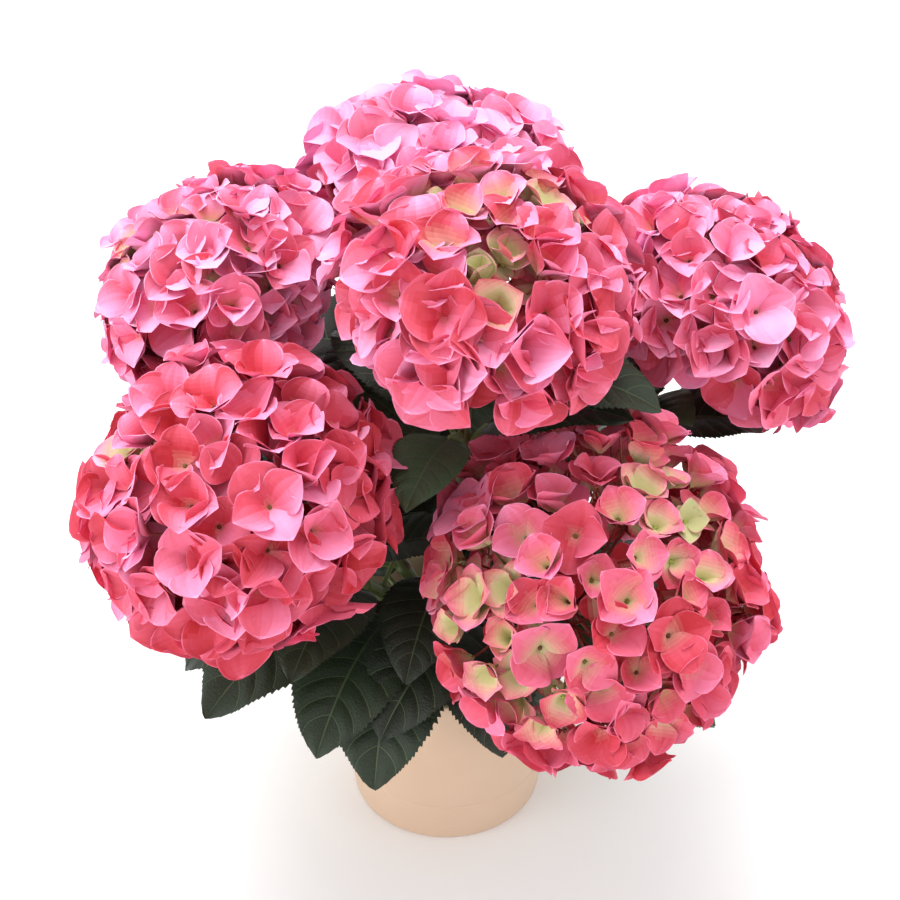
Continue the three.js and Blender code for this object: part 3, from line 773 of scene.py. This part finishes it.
def pressed(florets, floret, azimuth, length, steep):
    """How steeply each sepal stands once its neighbours have pressed on it.

    It lies open over a lower floret, slides under a higher one, and stands up against an equal.
    """
    centre, rank = florets["centre"], florets["rank"]
    e1, e2, facing = (florets[name][floret] for name in ("e1", "e2", "facing"))
    ahead = turned(azimuth[:, None], e1, e2)
    offset = centre[None] - centre[floret][:, None]
    forward = (offset * ahead[:, None]).sum(-1)
    aside = (offset * np.cross(facing, ahead)[:, None]).sum(-1)
    higher = (offset * facing[:, None]).sum(-1) / PRESS["level"]
    higher = higher + (rank[None] - rank[floret][:, None]) * PRESS["rank"]
    # How long a flat sepal may be before it meets the plane half way to each neighbour.
    at_least_1 = np.maximum(forward, 1.0)
    free = (at_least_1**2 + aside**2) / (2 * at_least_1)
    apart = np.linalg.norm(offset, axis=-1)
    counts = (forward > 2) & (apart > 1) & (apart < PRESS["far"]) & ~florets["inner"][None]
    free = np.where(counts, free, 99.0)
    nearest_one = np.arange(len(floret)), np.argmin(free, axis=1)
    free, higher = free[nearest_one], higher[nearest_one]
    stand = np.arccos(np.clip((free + PRESS["gap"]) / length, 0.42, 1))
    equal = np.exp(-((higher / PRESS["equal"]) ** 2))
    under = ease(higher / PRESS["higher"])
    open_angle = steep * (1 - PRESS["slide"] * under * (1 - equal))
    return open_angle + np.maximum(0, stand - open_angle) * equal


def placed(florets, which, x, y, z):
    """Points given in the frames of the florets that they belong to."""
    centre, e1, e2, facing = (
        florets[name][which][:, None, None, :] for name in ("centre", "e1", "e2", "facing")
    )
    return centre + x[..., None] * e1 + y[..., None] * e2 + z[..., None] * facing


def sepals_of(florets, number):
    """A bloom's sepals, four or five to a floret, with their places in it and their numbers."""
    count = np.where(chance(number, florets["i"], 11) > 0.9, 5, 4)
    floret = np.repeat(np.arange(len(count)), count)
    place = np.concatenate([np.arange(c) for c in count])
    key = florets["i"][floret] * 7 + place
    return dict(floret=floret, place=place, count=count[floret], key=key, seed=number + 20)


def luck(sepals, code):
    return chance(sepals["seed"], sepals["key"], code)


def vary(sepals, code, most):
    return spread(sepals["seed"], sepals["key"], code, most)


def sepal_grids(florets, sepals, number, cup):
    """Each sepal's grid of points, in rows from its base to its tip."""
    floret, place, count = sepals["floret"], sepals["place"], sepals["count"]
    young = florets["young"][floret]
    length = florets["width"][floret] / 2 * (1 + vary(sepals, 1, 0.07))
    wide = (1.02 + vary(sepals, 2, 0.09)) * np.where(count == 5, 0.84, 1)
    azimuth = florets["spin"][floret] + 2 * np.pi * place / count + vary(sepals, 9, 0.07)
    own_cup = cup * (1 + spread(number, florets["i"], 12, 0.4)) + 20 * florets["young"]
    own_cup = np.radians(own_cup[floret] + vary(sepals, 3, 8))
    upper = place % 2
    steep = pressed(florets, floret, azimuth, length, own_cup) + math.radians(3.5) * upper
    relax = 0.35 + 0.6 * luck(sepals, 4) - 0.2 * young
    hollow = 0.375 * np.tan(np.minimum(steep * (1 - 0.5 * relax), 1.1)) + 0.16 * luck(sepals, 5)
    pointed = np.clip(0.1 + 0.8 * luck(sepals, 14) + 0.5 * young, 0, 1)
    phase = luck(sepals, 8) * 2 * np.pi
    start = (steep * (1 + 0.5 * relax))[EACH]
    bend = 1.15 * relax[EACH]
    length, wide, azimuth, upper, hollow, pointed, phase, twist, wave = (
        value[EACH]
        for value in (
            length, wide, azimuth, upper, hollow, pointed, phase,
            vary(sepals, 6, 0.16), 0.03 + 0.06 * luck(sepals, 7),
        )
    )

    s, u = OUTLINE_S[None, :, None], SEPAL_U[None, None, :]
    step = np.diff(OUTLINE_S, prepend=0)[None, :, None]
    # Bent up at the base, and straighter or turned down again towards the tip.
    angle = start * (1 - bend * s)
    middle = start * (1 - bend * (s - step / 2))
    out = length * np.cumsum(step * np.cos(middle), axis=1) + 0.8
    rise = length * np.cumsum(step * np.sin(middle), axis=1) + 0.6 * upper
    outline = OUTLINE_ROUND[None, :, None] * (1 - pointed) + OUTLINE_RHOMB[None, :, None] * pointed
    half = length * wide * outline * (1 + 0.03 * np.sin(9 * s + phase + 2 * u))
    ripple = np.sin(9 * s + phase + 1.9 * np.sign(u)) * np.sin(np.pi * s) ** 0.5
    ripple = wave * length * np.abs(u) ** 3 * ripple
    ridge = 0.24 * np.where(np.arange(len(SEPAL_U)) % 2, -1, 1) * np.sin(np.pi * s) ** 0.6
    raised = half * (hollow * u**2 + twist * u * s) + ripple - ridge
    x = out - raised * np.sin(angle)
    y = u * half * (1 - 0.22 * hollow)
    z = rise + raised * np.cos(angle)
    cos, sin = np.cos(azimuth), np.sin(azimuth)
    return placed(florets, floret, x * cos - y * sin, x * sin + y * cos, z)


def sepal_looks(florets, sepals, grid, painted_light):
    """Each square's material, by its distance from the base and by how it lies to the light, as painted
    light and shade.
    """
    # Painted light and shade: how each square faces the brighter side of the sky, with part of the
    # shading of the veins' ridging kept.
    ahead = grid[:, 1:, :-1] - grid[:, :-1, :-1]
    beside = grid[:, :-1, 1:] - grid[:, :-1, :-1]
    lit = unit(np.cross(ahead, beside)) @ unit(SUN_SIDE)
    padded = np.pad(lit, ((0, 0), (0, 0), (1, 1)), mode="edge")
    even = (padded[..., :-2] + 2 * lit + padded[..., 2:]) / 4
    lit = even + RIDGE_PAINTED_SHADE * (lit - even)

    s = ((OUTLINE_S[1:] + OUTLINE_S[:-1]) / 2)[None, :, None]
    u = np.abs((SEPAL_U[1:] + SEPAL_U[:-1]) / 2)[None, None, :]
    age = florets["young"][sepals["floret"]][EACH]
    pink = np.clip((s + 0.3 * u**2 * s - 1.3 * age + 0.42) / (0.5 + 0.45 * age), 0, 1)
    pink = 1 - (1 - pink) ** 1.6
    streak = spread(sepals["key"][EACH], np.arange(len(SEPAL_U) - 1)[None, None, :], 17, 0.03)
    pink = np.clip(pink + streak * (1 - np.abs(2 * pink - 1)), 0, 1)
    # The rim is pinker, as a sepal's own edge is; its tone is also painted paler, a painted highlight
    # of light through the thin edge.
    rim = (u > 0.93) | (s > 0.95)
    pink = np.where(rim, np.maximum(pink, 0.5 + 0.5 * pink), pink)
    step = np.round(pink * (PETAL_STEPS - 1) + vary(sepals, 10, 0.4)[EACH])
    tone = (florets["tone"][sepals["floret"]] + vary(sepals, 13, 0.1))[EACH]
    # Painted shade: a deeper coral towards the base, in the floret's hollow; painted highlight: a paler
    # rim.
    tone = tone + 0.2 * (0.4 - s) - 0.16 * rim + 1.2 * streak
    # Painted light: paler where a square faces the brighter side of the sky, and a little paler where
    # it faces away.
    tone = tone - painted_light * np.maximum(lit, -BACK_PAINTED_LIGHT * lit)
    return petal_look(np.clip(step, 0, PETAL_STEPS - 1), tone)


def add_sepals(patches, florets, number, style):
    """Every sepal of a bloom, a grid each, and a coarser one for the inner florets'."""
    sepals = sepals_of(florets, number)
    grid = sepal_grids(florets, sepals, number, style["cup"])
    looks = sepal_looks(florets, sepals, grid, style["painted_light"])
    hidden = florets["inner"][sepals["floret"]]
    patches.add(grid[~hidden], looks[~hidden])
    coarse = grid[hidden][:, INNER_ROWS][:, :, INNER_COLUMNS]
    patches.add(coarse, looks[hidden][:, INNER_ROWS[:-1]][:, :, INNER_COLUMNS[:-1]])


def add_eyes(patches, florets, number):
    """The bead at each floret's centre."""
    size = (1.25 + spread(number, florets["i"], 14, 0.25))[EACH]
    x, y, z = ball([-60, -25, 10, 45, 80], 7)
    grid = placed(florets, slice(None), size * x, size * y, size * 1.1 * z + 0.9)
    look = np.where(chance(number, florets["i"], 15) > 0.5, BROWN_EYE, OLIVE_EYE)
    look = np.where(florets["young"] > 0.45, GREEN_EYE, look)
    patches.add(grid, look[EACH], closed=True)


def add_flower_stalks(patches, stem, florets, number, branches=11):
    """A bloom's branching stalks, from the stem's tip to each floret."""
    tip, axis = stem["path"][-1], stem["axis"]
    k = np.arange(branches)
    first, second = across_axis(axis)
    upright = 1 - 1.05 * (k + 0.5) / branches
    beside = np.sqrt(1 - upright**2)[:, None] * turned((k * GOLDEN)[:, None], first, second)
    ways = beside + upright[:, None] * axis
    nodes = stem["radius"] * beside + (stem["rise"] * upright)[:, None] * axis
    nodes = stem["centre"] + 0.42 * nodes
    bend = tip + 0.45 * (nodes - tip) + 6 * axis
    t = np.linspace(0, 1, 7)
    branch = bezier([np.broadcast_to(tip, nodes.shape), bend, nodes], t)
    patches.add(tubes(branch, 1.7 - 0.7 * t, 6), RED_STALK, closed=True)

    root = nodes[np.argmax(unit(florets["spot"]) @ unit(ways).T, axis=1)]
    bend = florets["centre"] - florets["facing"] * 16
    t = np.linspace(0, 1, 6)
    look = np.where(florets["young"] > 0.4, GREEN_STALK, PINK_STALK)
    look = np.where(chance(number, florets["i"], 16) > 0.35, RED_STALK, look)
    stalk = bezier([root, bend, florets["centre"]], t)
    patches.add(tubes(stalk, 0.85 - 0.25 * t, 5), look[EACH], closed=True)


# ------------ pot, soil and stump


def smooth_noise(points, scale, seed):
    """A repeatable, smooth, uneven number for each point, about -1 to 1."""
    total = 0
    for octave in range(4):
        turns = spread(seed, octave, np.arange(9).reshape(3, 3), 1)
        phase = points @ (turns * scale * 1.9**octave)
        total = total + np.prod(np.sin(phase + seed + octave), axis=-1) * 1.6 / (octave + 1)
    return total


def pot_radius(z):
    """The radius of the pot's wall at a height."""
    slope = (POT["rim_radius"] - POT["foot_radius"]) / POT["height"]
    return POT["foot_radius"] + slope * np.minimum(z, POT["height"])


def rounded(corners, radii, steps=5):
    """A profile with each corner rounded by its own radius."""
    corners = [np.array(c, float) for c in corners]
    points = [corners[0]]
    for before, corner, after, radius in zip(corners, corners[1:], corners[2:], radii):
        back = corner + unit(before - corner) * radius
        on = corner + unit(after - corner) * radius
        points += list(bezier([back, corner, on], np.linspace(0, 1, steps)))
    points.append(corners[-1])
    return np.array(points)


def build_pot():
    height, wall, lip = POT["height"], POT["wall"], POT["lip"]
    lip_foot, groove = height - POT["lip_height"], GROOVE["height"]
    low, high = groove - GROOVE["width"] / 2, groove + GROOVE["width"] / 2
    # From the underside's middle out, up the wall and over the rim, and down to the floor's middle.
    corners = [
        (0.3, 0),
        (POT["foot_radius"], 0),
        (pot_radius(low), low),
        (pot_radius(groove) - GROOVE["depth"], groove),
        (pot_radius(high), high),
        (pot_radius(lip_foot), lip_foot),
        (pot_radius(lip_foot) + lip, lip_foot + lip),
        (POT["rim_radius"] + lip, height),
        (POT["rim_radius"] - wall, height),
        (pot_radius(POT["floor"]) - wall, POT["floor"]),
        (0.3, POT["floor"]),
    ]
    profile = rounded(corners, [2.4, 0.5, 0.7, 0.5, 0.8, 0.7, 1.7, 1.7, 2])[:, :, None]
    patches = Patches()
    patches.add(round_axis(profile[:, 0], around(144)[::-1], profile[:, 1]), 0, closed=True)
    stops = [(0.3, (208, 177, 149)), (0.7, (216, 186, 160))]
    glaze = mottled(plain("pot_ceramic", linear(212, 181, 154), 0.42), stops, 9)
    patches.build("pot_body", [with_relief(glaze, 260, 0.00012)], "pot", "pot")


SOIL_RADIUS = pot_radius(SOIL["top"]) - POT["wall"] - SOIL["gap"]
CRUMBS = 420
EARTH, BARK, GRIT = range(3)


def soil_fall(out):
    """How far the soil has fallen towards the wall, from 0 to 1."""
    return ease((out / SOIL_RADIUS - SOIL["shoulder"]) / (1 - SOIL["shoulder"]))


def soil_height(out):
    return SOIL["top"] - SOIL["mound"] * (0.3 * out / SOIL_RADIUS + 0.7 * soil_fall(out))


def add_crumbs(patches):
    """Lumps that lie on the soil, clear of the woody foot: earth, and some bark and grit."""
    number, foot = np.arange(CRUMBS), STUMP_RADII[0][1]
    out = np.sqrt(chance(number, 3, 1)) * (SOIL_RADIUS - 4)
    out = np.where(out < foot, out + foot + 3, out)
    size = 0.7 + 1.9 * chance(number, 3, 3) ** 2
    middle = round_axis(out, chance(number, 3, 2) * 2 * np.pi, soil_height(out) + size * 0.25)
    x, y, z = ball([-90, -45, 0, 45, 90], 6)
    y = (0.6 + 0.4 * chance(number, 4, 4))[EACH] * y
    lump = np.stack(np.broadcast_arrays(x, y, 0.7 * z), axis=-1)
    crumbs = middle[:, None, None] + size[:, None, None, None] * lump
    uneven = [smooth_noise(crumbs, 1.1, seed) for seed in (1, 2, 3)]
    kind = np.where(chance(number, 3, 6) > 0.5, BARK, EARTH)
    kind = np.where(chance(number, 3, 5) > 0.93, GRIT, kind)
    patches.add(crumbs + 0.25 * np.stack(uneven, axis=-1), kind[EACH], closed=True)


def build_soil():
    out = np.linspace(0.5, SOIL_RADIUS, 44)[:, None]
    top = round_axis(out, around(150), soil_height(out))
    top[..., 2] += 0.8 * smooth_noise(top, 0.6, 5) * (1 - soil_fall(out) * 0.5) - 0.3
    patches = Patches()
    patches.add(top, EARTH, closed=True)
    add_crumbs(patches)
    stops = [(0.3, (38, 29, 23)), (0.6, (66, 50, 38)), (0.75, (92, 72, 54))]
    earth = mottled(plain("soil_dark", linear(52, 40, 32), 0.95), stops, 140)
    materials = [
        with_relief(earth, 500, 0.0012),
        plain("soil_bark", linear(84, 58, 40), 0.9),
        plain("soil_grit", linear(196, 190, 176), 0.8),
    ]
    patches.build("soil_surface", materials, "soil", "potting_soil")


def bark_material(name, dark, middle, pale):
    stops = [(0.32, dark), (0.5, middle), (0.72, pale)]
    bark = mottled(plain(name, linear(*middle), 0.85), stops, 190, stretch=(1, 1, 0.22))
    return with_relief(bark, 420, 0.0012)


def ridged(grid, length, depth, seed):
    """Bark relief on a closed grid of rings: ridges that run along it and wander, and knots."""
    rings, sides = grid.shape[:2]
    out = unit(grid - grid.mean(axis=1, keepdims=True))
    turn = around(sides)
    run = np.linspace(0, length, rings)[:, None]
    wander = 0.7 * np.sin(run * 0.9 + seed) + 0.4 * np.sin(run * 2.3 + 2 * seed)
    ridge = np.abs(np.sin(5 * turn + wander + 0.6 * np.sin(3 * turn + run))) ** 0.6
    fine = np.sin(17 * turn + 2.2 * run + wander) * np.sin(7 * turn - 1.3 * run)
    relief = ridge - 0.75 + 0.35 * fine + 0.4 * smooth_noise(grid, 0.5, seed)
    return grid + out * (depth * relief)[..., None]


def build_stump():
    share, turn = np.linspace(0, 1, 56)[:, None], around(72)
    lobe = 1 + STUMP["swelling"] * (1 - share) * np.cos(STUMP["lobes"] * turn + 1)
    radius = np.interp(share, *zip(*STUMP_RADII)) * lobe
    grid = round_axis(radius, turn, SOIL["top"] + 0.3 + STUMP["height"] * share)
    grid[..., 0] += STUMP["lean"] * share
    grid = ridged(grid, 9, 1.1, 3)
    edge, head = grid[-1], grid[-1].mean(axis=0) + UP * 1.2
    dome = [
        edge * (1 - f) + head * f + UP * 1.4 * math.sin(math.pi * f / 2) * (1 - f)
        for f in (0.25, 0.5, 0.75, 0.97)
    ]
    patches = Patches()
    patches.add(np.concatenate([grid, np.array(dome)]), 0, closed=True)
    bark = bark_material("bark_stump", (74, 58, 44), (122, 100, 78), (168, 146, 118))
    patches.build("stump_bark", [bark], "bark", "woody_stump")


def build_cane(stem, number, material):
    """A stem's woody length, with two swollen joints."""
    t = np.linspace(0, CANE_SHARE + OVERLAP, 46)
    radii = stem_radius(t)
    for joint, more in ((0.085, 0.7), (0.15, 0.5)):
        radii = radii + more * np.exp(-(((t - joint) / 0.008) ** 2))
    patches = Patches()
    rings = transported(bezier(stem["path"], t), radii, 30)
    patches.add(ridged(rings, 14, 0.42, number + 1), 0, closed=True)
    patches.build(f"bark_{stem['name']}", [material], "cane", f"cane_{stem['name']}")


# ------------ the plant

stems = [grown(dict(zip(STEM_COLUMNS, row))) for row in STEMS]
leaves = grow_shoot_leaves(stems, grow_leaves(stems))

build_pot()
build_soil()
build_stump()
cane_bark = bark_material("bark_cane", (70, 54, 40), (112, 92, 66), (150, 132, 100))

for number, stem in enumerate(stems):
    name = stem["name"]
    own = [leaf for leaf in leaves if leaf["stem"] is stem]
    build_cane(stem, number, cane_bark)

    blades, twigs = Patches(), Patches()
    ends = CANE_SHARE - OVERLAP, BLOOM_SHARE + OVERLAP
    add_stem(twigs, stem, *ends, 90, own, GREEN_STEM, specks=number)
    for seed, leaf in enumerate(own):
        add_blade(blades, leaf, number * 20 + seed)
        add_petiole(twigs, leaf)
    blades.build(f"blades_{name}", LEAVES, "leaf", f"leaves_{name}")
    twigs.build(f"twigs_{name}", TWIGS, "leaf", f"leaves_{name}")

    florets = florets_of(stem, number, stems)
    petals, eyes, stalks = Patches(), Patches(), Patches()
    add_sepals(petals, florets, number, BLOOMS[name])
    add_eyes(eyes, florets, number)
    add_stem(stalks, stem, ends[1], 1.0, 14, [], GREEN_STALK)
    add_flower_stalks(stalks, stem, florets, number)
    petals.build(f"petals_{name}", PETALS, "bloom", f"bloom_{name}")
    eyes.build(f"eyes_{name}", EYES, "bloom", f"bloom_{name}")
    stalks.build(f"flower_stalks_{name}", FLOWER_STALKS, "bloom", f"bloom_{name}")

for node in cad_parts.values():
    if not node.hide_render:
        node.data.materials.clear()
        node.data.materials.append(plain(f"under_{node.name}", (0.5, 0.5, 0.5), 0.7))

# ------------ floor, light and camera

floor_mesh = bpy.data.meshes.new("studio_floor")
floor_mesh.from_pydata([(-6, -6, 0), (6, -6, 0), (6, 6, 0), (-6, 6, 0)], [], [(0, 1, 2, 3)])
floor = put("studio_floor", floor_mesh)
floor_mesh.materials.append(plain("studio_paper", (0.98, 0.978, 0.98), 0.9, specular=0.1))


def area_light(name, place, target, size, power):
    light = bpy.data.lights.new(name, "AREA")
    light.shape = "DISK"
    light.size = size
    light.energy = power
    lamp = put(name, light)
    lamp.location = place
    ahead = Vector(target) - Vector(place)
    lamp.rotation_euler = ahead.to_track_quat("-Z", "Y").to_euler()


area_light("overhead", (-0.3, 0.8, 2.5), (0, 0, 0.3), 2.4, 64)
area_light("left_side", (-2.1, -1.2, 0.9), (0, 0, 0.2), 1.8, 21)
area_light("right_side", (2.2, -0.6, 1.0), (0, 0, 0.2), 1.8, 12)

world = bpy.data.worlds.new("studio")
bpy.context.scene.world = world
world.use_nodes = True
sky = world.node_tree.nodes["Background"]
sky.inputs["Color"].default_value = (0.98, 0.985, 1.0, 1)
sky.inputs["Strength"].default_value = 0.9

ELEVATION, DISTANCE, TARGET = math.radians(38), 1.30, (0.0022, 0.0, 0.259)
camera_data = bpy.data.cameras.new("camera")
camera_data.lens = 91.6
camera_data.sensor_width = 36
camera = put("camera", camera_data)
camera.location = (
    TARGET[0],
    TARGET[1] - DISTANCE * math.cos(ELEVATION),
    TARGET[2] + DISTANCE * math.sin(ELEVATION),
)
camera.rotation_euler = (math.pi / 2 - ELEVATION, 0, 0)
bpy.context.scene.camera = camera
bpy.context.scene.view_settings.view_transform = "Standard"
